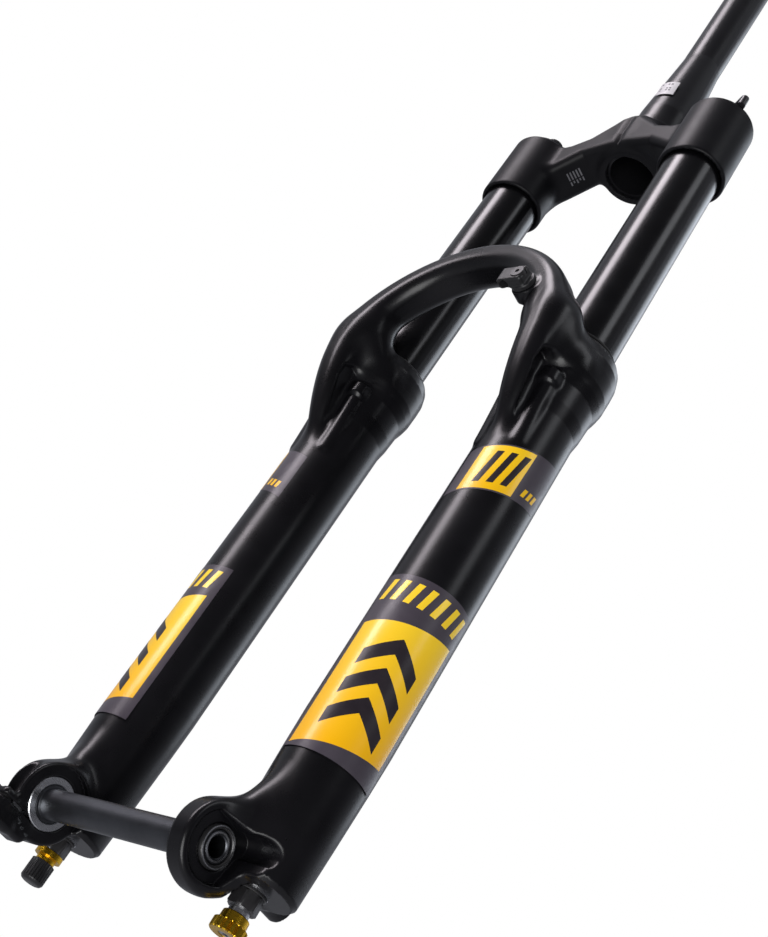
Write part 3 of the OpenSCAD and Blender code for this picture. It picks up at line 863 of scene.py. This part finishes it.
def slants(count, start, width, pitch, low, high, lean):
    """Row of slanted bars, pitch apart."""
    lefts = [start + pitch * i for i in range(count)]
    return [slant(left, left + width, low, high, lean) for left in lefts]


def chevron(low):
    return [(-15, low), (0, low + 12), (15, low), (15, low + 9), (0, low + 21), (-15, low + 9)]


def wrap_on_leg(side, tag, parts, turn, tilt):
    """parts are (name, material, outlines, lift above the film)."""
    centre = (side * LEG_X, LEG_Y, AXLE_Z)
    for name, material, shapes, lift in parts:
        obj = wrapped(f"graphic_{name}_{tag}", shapes, centre, FILM_R + lift, turn, tilt)
        dress(obj, material, "lowers", None)


def lower_graphic(side, tag, mats):
    """Leaning plain panel with three chevrons, and a row of thin slanted bars above it."""
    panel = [(-25.5, 58.5), (25.5, 68.5), (25.5, 138.5), (-25.5, 128.5)]
    chevrons = [chevron(low) for low in (70.0, 87.0, 104.0)]
    bars = slants(7, -25.5, 3.4, 7.4, 143, 155.5, 3)
    parts = [("film", mats["film"], [rect(-29.5, 56.5, 29.5, 159)], 0),
        ("panel", mats["yellow_ink"], [panel], INK_LIFT),
        ("chevrons", mats["line_ink"], chevrons, TOP_INK_LIFT),
        ("bars", mats["yellow_ink"], bars, INK_LIFT)]
    wrap_on_leg(side, tag, parts, -44 if side > 0 else -129, 0)


def upper_graphic(side, tag, mats):
    """Small tilted band higher up the leg."""
    stripes = slants(3, -14, 3.5, 7, 227, 249, 4)
    dashes = slants(3, 12, 2.4, 4, 226, 231, 1)
    parts = [("band", mats["film"], [rect(-28, 221.5, 28, 254)], 0),
        ("flash", mats["yellow_low"], [slant(-20, 8, 222.5, 253, 1)], INK_LIFT),
        ("stripes", mats["line_ink"], stripes, TOP_INK_LIFT),
        ("dashes", mats["yellow_low"], dashes, INK_LIFT)]
    wrap_on_leg(side, tag, parts, -44 if side > 0 else -136, 0.29 * side)


def label_dot(i, j):
    u = -5.6 + DOT_PITCH * i
    v = 40 + DOT_PITCH * j
    return rect(u, v, u + DOT_SIZE, v + DOT_SIZE)


def steerer_label(mats):
    """Pale patch with an irregular grid of dots in place of print."""
    back = wrapped("label_patch", [rect(-7, 38, 7, 53)], LABEL_PLACE, LABEL_R, LABEL_TURN, 0.0)
    dress(back, mats["pale_ink"], "uppers", None)
    dots = [label_dot(i, j) for i in range(5) for j in range(5) if (i * 3 + j * 5 + i * j) % 3]
    marks = wrapped("label_marks", dots, LABEL_PLACE, LABEL_R + INK_THICK, LABEL_TURN, 0.0)
    dress(marks, mats["etched"], "uppers", None)


# ------------------------------------------------------------ small pieces


def at_leg(side):
    """Where a leg's axis meets the height of the axle."""
    return side * LEG_X, LEG_Y, AXLE_Z


def build_wipers(m):
    lip = [(19.35, COLLAR_H), (25, COLLAR_H), (25, COLLAR_H + 1.5), (24.2, COLLAR_H + 2.2),
        (20.55, COLLAR_H + 2.3), (20.4, COLLAR_H + 4.6), (19.9, COLLAR_H + 5.0), (19.35, COLLAR_H + 4.4)]
    body = [(20.5, 322.2), (23.4, 322.2), (23.4, COLLAR_H - 0.05), (20.5, COLLAR_H - 0.05)]
    for side, tag in SIDES:
        obj = lathe("wiper_lip_" + tag, bevelled(lip, 0.2), at_leg(side))
        dress(obj, m["seal_rubber"], "lowers", "seal_rubber")
        obj = lathe("wiper_body_" + tag, bevelled(body, 0.2), at_leg(side))
        dress(obj, m["seal_rubber"], "lowers", "seal_rubber")


def build_foot_nuts(m):
    for side, tag in SIDES:
        nut = hexagon("foot_nut_" + tag, 13, -13, -5.4, 5.1, at_leg(side))
        dress(nut, m["black_steel"], "lowers", "black_steel")
    flange = bevelled([(5.1, -5.35), (7.9, -5.35), (7.9, -4.2), (5.1, -4.2)], 0.2)
    for side, tag in SIDES:
        obj = lathe("nut_flange_" + tag, flange, at_leg(side))
        dress(obj, m["black_steel"], "lowers", "black_steel")


def turned_knob(m, name, profile, side, flutes, slot, node):
    """Fluted piece on a leg's axis, in place of the CAD node whose body has the same name."""
    obj = lathe(name, profile, at_leg(side), FINE_SEGMENTS, flutes)
    dress(obj, m[slot], node, slot, node)


def build_foot_knobs(m):
    knob = [(3.6, -25.5), (7.8, -25.5), (8.3, -25.0), (8.3, -24.9), (8.3, -20.9), (8.3, -20.8),
        (7.8, -20.4), (6.7, -20.2), (6.5, -16.4), (6.1, -16.0), (1.8, -16.0), (1.8, -23.0), (3.6, -23.0)]
    turned_knob(m, "gold_knob", knob, 1, (16, 0.9, -25.05, -20.75, 1.2), "gold", "rebound_knob")
    cap = [(4.05, -19), (6.2, -19), (6.2, -19.3), (6.2, -28.2), (6.2, -28.5), (5.4, -29.6),
        (4.4, -30), (0.05, -30), (0.05, -27.0), (4.05, -27.0)]
    flutes = (24, 0.55, -28.3, -19.2, 0.8)
    turned_knob(m, "ramp_cap", cap, -1, flutes, "black_plastic", "ramp_valve_cap")


def build_top_knobs(m):
    """Heights are from the top face of the leg clamps."""
    top = CLAMP_TOP - AXLE_Z
    cap = [(4.05, top + 9.4), (7, top + 9.4), (7, top + 9.7), (7, top + 18.2), (7, top + 18.5),
        (6.2, top + 19.8), (5.4, top + 20), (0.05, top + 20), (0.05, top + 17.4), (4.05, top + 17.4)]
    flutes = (24, 0.6, top + 9.6, top + 18.3, 0.8)
    turned_knob(m, "valve_cap_top", cap, -1, flutes, "black_plastic", "top_valve_cap")
    knob = [(2.2, top + 14.05), (2.2, top + 16.8), (7.6, top + 17), (8.4, top + 16.2),
        (8.5, top + 16.0), (8.5, top + 11.2), (8.2, top + 10.8), (3.8, top + 10.7),
        (3.8, top - 4), (0.05, top - 4), (0.05, top + 14.05)]
    flutes = (18, 0.7, top + 11.1, top + 16.1, 1.0)
    turned_knob(m, "control_knob", knob, 1, flutes, "cap_black", "compression_knob")


def axle_profile():
    """(radius, along) from the right head to the threaded left end."""
    outer = [(9.0, -71.0), (9.3, -70.7), (9.3, -55.6), (9.0, -55.1), (7.9, -55.0), (7.5, -54.4),
        (7.48, -50), (7.48, 50), (7.5, 54)]
    thread = []
    for x in range(55, 65):
        thread += [(7.5, x), (7.05, x + 0.5)]
    end = [(7.4, 65.2), (7.1, 66.0), (5.3, 66.0), (4.8, 65.5), (4.8, -70.5), (5.3, -71.0)]
    return outer + thread + end


def on_axle(name, profile, material, body, slot, *nodes):
    """Turned piece along the axle."""
    obj = lathe(name, profile, (0, AXLE_Y, AXLE_Z), axis="x")
    dress(obj, material, body, slot, *nodes)


def build_travel_ring(m):
    ring = [(19.25, 343.5), (19.75, 343.4), (21.2, 343.9), (21.35, 344.5), (21.2, 345.1),
        (19.75, 345.6), (19.25, 345.5)]
    obj = lathe("travel_marker", ring, at_leg(1))
    dress(obj, m["seal_rubber"], "travel_ring", "seal_rubber", "travel_ring")


def build_hardware(m):
    build_wipers(m)
    build_foot_nuts(m)
    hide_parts("foot_nuts")
    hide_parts("dust_wipers")
    build_foot_knobs(m)
    build_top_knobs(m)
    on_axle("axle_hollow", axle_profile(), m["axle_grey"], "axle", "axle_grey", "axle")
    build_travel_ring(m)


def build_collar(m):
    """Collar that the axle's head turns in, and the threaded insert at its other end."""
    collar = [(9.36, -68.0), (12.7, -68.0), (13.2, -67.5), (13.2, -55.5), (12.8, -55.0), (9.8, -55.0),
        (9.36, -55.4)]
    on_axle("collar_ring", collar, m["bright_metal"], "lowers", "bright_metal", "axle_collar")
    insert = [(7.62, 63.0), (9.75, 63.0), (9.75, 66.2), (9.4, 66.7), (8.3, 66.7), (8.0, 66.3), (7.62, 66.2)]
    on_axle("dropout_insert", insert, m["black_steel"], "lowers", "black_steel")
    rim = [(8.75, 66.6), (9.25, 66.6), (9.25, 66.85), (8.75, 66.85)]
    on_axle("dropout_insert_rim", rim, m["bright_metal"], "lowers", "bright_metal")
    rim = [(5.7, 65.9), (6.5, 65.9), (6.5, 66.15), (5.7, 66.15)]
    on_axle("axle_end_rim", rim, m["bright_metal"], "axle", "bright_metal")


CLIP_STEP = 0.45
CLIP_LOW = (-15, -10.5, -9)
CLIP_HIGH = (9, 1.5, 9)


def hose_field(x, y, z):
    """Screwed-on clip with an open channel for the brake hose."""
    d = rod(x, y, z, (0, -3, 0), (0, -0.1, 0), 7.4, 0.8)
    bar = block(x, y, z, (-4.5, -5.5, 0), (8.5, 3.4, 6), 2.0)
    d = smooth_join(d, bar, 1.5)
    channel = length2(x + 8.5, y + 5.3) - 2.7
    d = smooth_cut(d, channel, 0.8)
    d = np.maximum(d, -np.maximum(length2(x, z) - 2.2, np.abs(y) - 20))
    return np.maximum(d, -np.maximum(length2(x, z) - 4.3, y + 5.4))


def build_hose_guide(m):
    obj = field_mesh("hose_clip", hose_field, CLIP_LOW, CLIP_HIGH, CLIP_STEP)
    obj.location = (GUIDE_X * MM, (LEG_Y + GUIDE_Y) * MM, (AXLE_Z + GUIDE_H) * MM)
    dress(obj, m["black_plastic"], "lowers", "black_plastic", "hose_guide")


ETCH_MIDDLE = Vector((-35.0, -12.5, -43.0))
ETCH_ALONG = Vector((-0.832, 0, -0.555))
ETCH_OUT = Vector((0.555, 0, -0.832))
ETCH_ROWS = 5
ETCH_PITCH = 2.2
ETCH_WIDTH = 1.0
ETCH_LIFT = 0.06
ETCH_DEPTH = -0.05


def etch_point(along, across, lift):
    return (ETCH_MIDDLE + ETCH_ALONG * along + Vector((0, across, 0)) + ETCH_OUT * lift) * MM


def etch_bar(bm, low, start, end):
    points = [(low, start), (low, end), (low + ETCH_WIDTH, end), (low + ETCH_WIDTH, start)]
    front = [bm.verts.new(etch_point(u, v, ETCH_LIFT)) for u, v in points]
    back = [bm.verts.new(etch_point(u, v, ETCH_DEPTH)) for u, v in points]
    bm.faces.new(front)
    bm.faces.new(back[::-1])
    for a in range(4):
        b = (a + 1) % 4
        bm.faces.new([front[a], back[a], back[b], front[b]])


def etched_lines(m):
    """Short bars on the underside of the right crown arm."""
    bm = bmesh.new()
    for i in range(ETCH_ROWS):
        low = -5.0 + ETCH_PITCH * i
        etch_bar(bm, low, -5.5, 0.5)
        etch_bar(bm, low, 1.5, 4.5 - 1.2 * (i % 2))
    bmesh.ops.recalc_face_normals(bm, faces=bm.faces)
    dress(mesh_from("crown_etching", bm), m["etched"], "uppers", None)


# ------------------------------------------------------------ stage


def area_light(name, place, target, size, power, tint=(1, 1, 1)):
    """Rectangular lamp of size (width, height) that shines from place towards target."""
    data = bpy.data.lights.new(name, "AREA")
    data.shape = "RECTANGLE"
    data.size, data.size_y = size
    data.energy = power
    data.color = tint
    obj = linked_object(name, data)
    obj.location = place
    aim = Vector(target) - Vector(place)
    obj.rotation_euler = aim.to_track_quat("-Z", "Y").to_euler()


def light_room(tree):
    """White backdrop, and a dim room that is brighter behind and above the fork."""
    nodes, links = tree.nodes, tree.links
    back = nodes["Background"]
    back.inputs["Color"].default_value = (1, 1, 1, 1)
    back.inputs["Strength"].default_value = 1.0
    room = nodes.new("ShaderNodeBackground")
    coords = nodes.new("ShaderNodeTexCoord")
    turned = nodes.new("ShaderNodeVectorMath")
    turned.operation = "DOT_PRODUCT"
    turned.inputs[1].default_value = Vector((-0.55, 0.55, 0.62)).normalized()
    links.new(coords.outputs["Generated"], turned.inputs[0])
    ramp = nodes.new("ShaderNodeValToRGB")
    ramp.color_ramp.interpolation = "EASE"
    ramp.color_ramp.elements[0].position = 0.0
    ramp.color_ramp.elements[0].color = (0.05, 0.048, 0.054, 1)
    ramp.color_ramp.elements[1].position = 0.75
    ramp.color_ramp.elements[1].color = (0.36, 0.37, 0.41, 1)
    half = nodes.new("ShaderNodeMapRange")
    half.inputs["From Min"].default_value = -1.0
    half.inputs["From Max"].default_value = 1.0
    links.new(turned.outputs["Value"], half.inputs["Value"])
    links.new(half.outputs["Result"], ramp.inputs["Fac"])
    links.new(ramp.outputs["Color"], room.inputs["Color"])
    ramp.color_ramp.elements.new(0.45).color = (0.07, 0.068, 0.076, 1)
    room.inputs["Strength"].default_value = 1.0
    path = nodes.new("ShaderNodeLightPath")
    mix = nodes.new("ShaderNodeMixShader")
    links.new(path.outputs["Is Camera Ray"], mix.inputs["Fac"])
    links.new(room.outputs["Background"], mix.inputs[1])
    links.new(back.outputs["Background"], mix.inputs[2])
    links.new(mix.outputs["Shader"], nodes["World Output"].inputs["Surface"])


def build_floor():
    mesh = bpy.data.meshes.new("floor")
    half = 12.0
    level = -3.2
    corners = [(-half, -half, level), (half, -half, level), (half, half, level), (-half, half, level)]
    mesh.from_pydata(corners, [], [[0, 1, 2, 3]])
    floor = linked_object("floor", mesh)
    m = Mat("floor_paint", 0.8)
    m.colour(m.colours(m.noise(2), (0.86, 0.86, 0.86), (0.89, 0.89, 0.89)))
    mesh.materials.append(m.mat)


def build_stage():
    build_floor()
    world = bpy.data.worlds.new("studio")
    bpy.context.scene.world = world
    world.use_nodes = True
    light_room(world.node_tree)
    bpy.context.scene.view_settings.view_transform = "Standard"
    middle = (0, -0.03, -0.3)
    area_light("rim", (0.15, 1.6, 0.9), middle, (0.9, 1.8), 12, (0.84, 0.91, 1.0))
    area_light("side", (-0.72, -1.34, 0.88), middle, (0.55, 1.8), 36, (1.0, 0.92, 0.98))
    area_light("fill", (0.9, -1.0, -1.6), middle, (1.2, 1.2), 26)
    area_light("top", (1.6, -0.2, 0.9), middle, (0.5, 1.2), 5, (0.93, 0.95, 1.0))


def build_camera():
    """Camera whose view was fitted to the photograph."""
    data = bpy.data.cameras.new("view")
    data.sensor_fit = "HORIZONTAL"
    data.sensor_width = 36.0
    data.lens = 65.33
    data.shift_x = 0.0083
    data.shift_y = 0.0117
    data.clip_start = 0.05
    data.clip_end = 60
    obj = linked_object("camera", data)
    place = Vector((0.51614, -0.42270, -0.76284))
    target = Vector((-0.02677, -0.01436, -0.34034))
    roll = math.radians(34.27)
    look = (target - place).normalized()
    side = look.cross(Vector((0, 0, 1))).normalized()
    up = side.cross(look)
    right = side * math.cos(roll) + up * math.sin(roll)
    above = right.cross(look)
    matrix = Matrix((right, above, -look)).transposed().to_4x4()
    matrix.translation = place
    obj.matrix_world = matrix
    bpy.context.scene.camera = obj


def dress_cad_nodes(mats):
    """Gives each CAD node the material of its slot."""
    slots = {row["node"]: row["material_slot"] for row in frame["record"]["subparts"]}
    for name, obj in frame["nodes"].items():
        obj.data.materials.clear()
        obj.data.materials.append(mats[slots[name]])


materials = make_materials()
dress_cad_nodes(materials)
build_lower_legs(materials["cast_black"])
build_crown(materials["crown_black"])
build_hardware(materials)
build_collar(materials)
build_hose_guide(materials)
etched_lines(materials)
for leg_side, leg_tag in SIDES:
    lower_graphic(leg_side, leg_tag, materials)
    upper_graphic(leg_side, leg_tag, materials)
steerer_label(materials)
build_stage()
build_camera()
